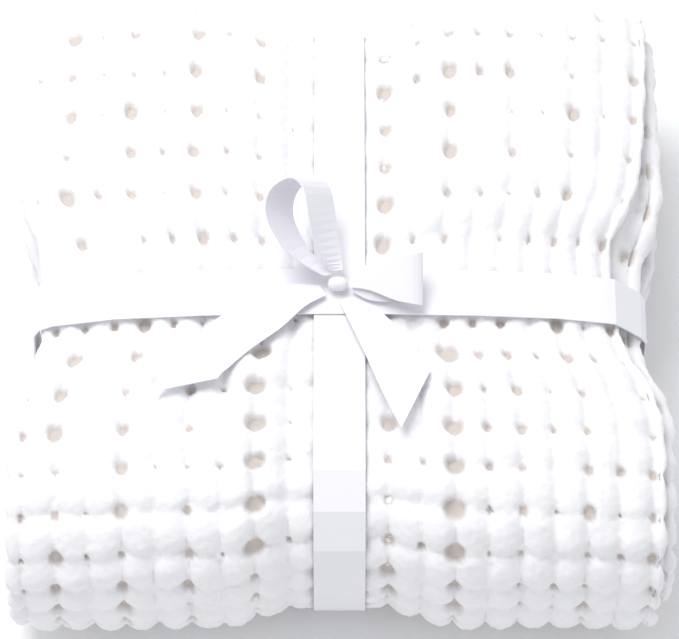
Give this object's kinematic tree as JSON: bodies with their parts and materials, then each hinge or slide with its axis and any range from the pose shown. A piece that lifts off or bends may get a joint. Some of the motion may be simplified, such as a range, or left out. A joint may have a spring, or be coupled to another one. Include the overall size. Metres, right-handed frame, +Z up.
{
  "type": "folded chunky knit blanket",
  "caption": "Chunky chenille knit throw blanket, folded in thirds and quarters into a thick soft pack and tied both ways with a satin ribbon and bow.",
  "frame": {"origin": "centre of the bounding box's underside, on the surface that the pack lies on", "axes": "+X across the pack, over the folded thirds; +Y from the round front fold towards the back, along the knitted ropes; +Z up"},
  "size_m": [0.4212, 0.414, 0.2087],
  "materials": {
    "knit": "matte",
    "ribbon": "satin"
  },
  "bodies": {
    "root": {"blanket": "knit", "ribbon_lengthwise": "ribbon", "ribbon_crosswise": "ribbon", "bow_knot": "ribbon", "bow_loop_left": "ribbon", "bow_loop_right": "ribbon", "bow_tail_left": "ribbon", "bow_tail_right": "ribbon"}
  },
  "joints": []
}
